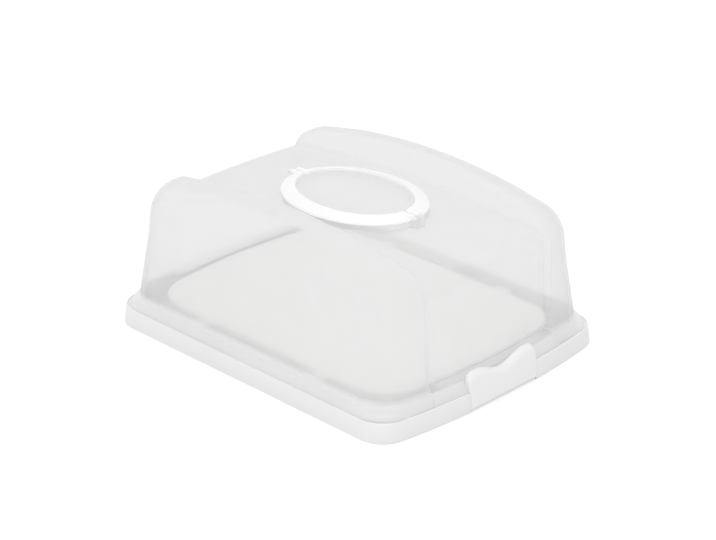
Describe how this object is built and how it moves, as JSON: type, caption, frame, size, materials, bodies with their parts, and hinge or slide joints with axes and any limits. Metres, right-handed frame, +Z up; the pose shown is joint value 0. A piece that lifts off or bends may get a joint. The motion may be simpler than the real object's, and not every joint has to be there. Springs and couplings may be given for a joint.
{
  "type": "cake carrier",
  "caption": "Rectangular cake carrier: frosted dome lid hinged over a shallow white tray, with a lift-out serving insert, an end clip and a folding oval carrying handle.",
  "frame": {"origin": "on the table, at the middle of the tray's footprint", "axes": "+X along the long side towards the clip, +Y across the carrier, +Z up"},
  "size_m": [0.4296, 0.3344, 0.178],
  "materials": {
    "tray_white": "satin",
    "insert_white": "satin",
    "dome_frosted": "frosted, translucent",
    "handle_white": "satin",
    "clip_white": "satin",
    "pin_steel": "drawn"
  },
  "bodies": {
    "base": {"base_tray": "tray_white", "hinge_pin": "pin_steel"},
    "insert": {"serving_insert": "insert_white"},
    "lid": {"dome_lid": "dome_frosted"},
    "handle_front": {"handle_front": "handle_white"},
    "handle_rear": {"handle_rear": "handle_white"},
    "clip": {"end_clip": "clip_white"}
  },
  "joints": [
    {"name": "lid_hinge", "type": "hinge", "parent": "base", "child": "lid", "pos_m": [-0.2101, 0, 0.0245], "axis": [0, -1, 0], "range_deg": [0, 105]},
    {"name": "clip_hinge", "type": "hinge", "parent": "base", "child": "clip", "pos_m": [0.21, 0, 0.0053], "axis": [0, 1, 0], "range_deg": [0, 90]},
    {"name": "handle_front_hinge", "type": "hinge", "parent": "lid", "child": "handle_front", "pos_m": [0, -0.0039, 0.15921], "axis": [-1, 0, 0], "range_deg": [0, 90]},
    {"name": "handle_rear_hinge", "type": "hinge", "parent": "lid", "child": "handle_rear", "pos_m": [0, 0.0039, 0.15921], "axis": [1, 0, 0], "range_deg": [0, 90]},
    {"name": "insert_lift", "type": "slide", "parent": "base", "child": "insert", "axis": [0, 0, 1], "range_m": [0, 0.03]}
  ]
}
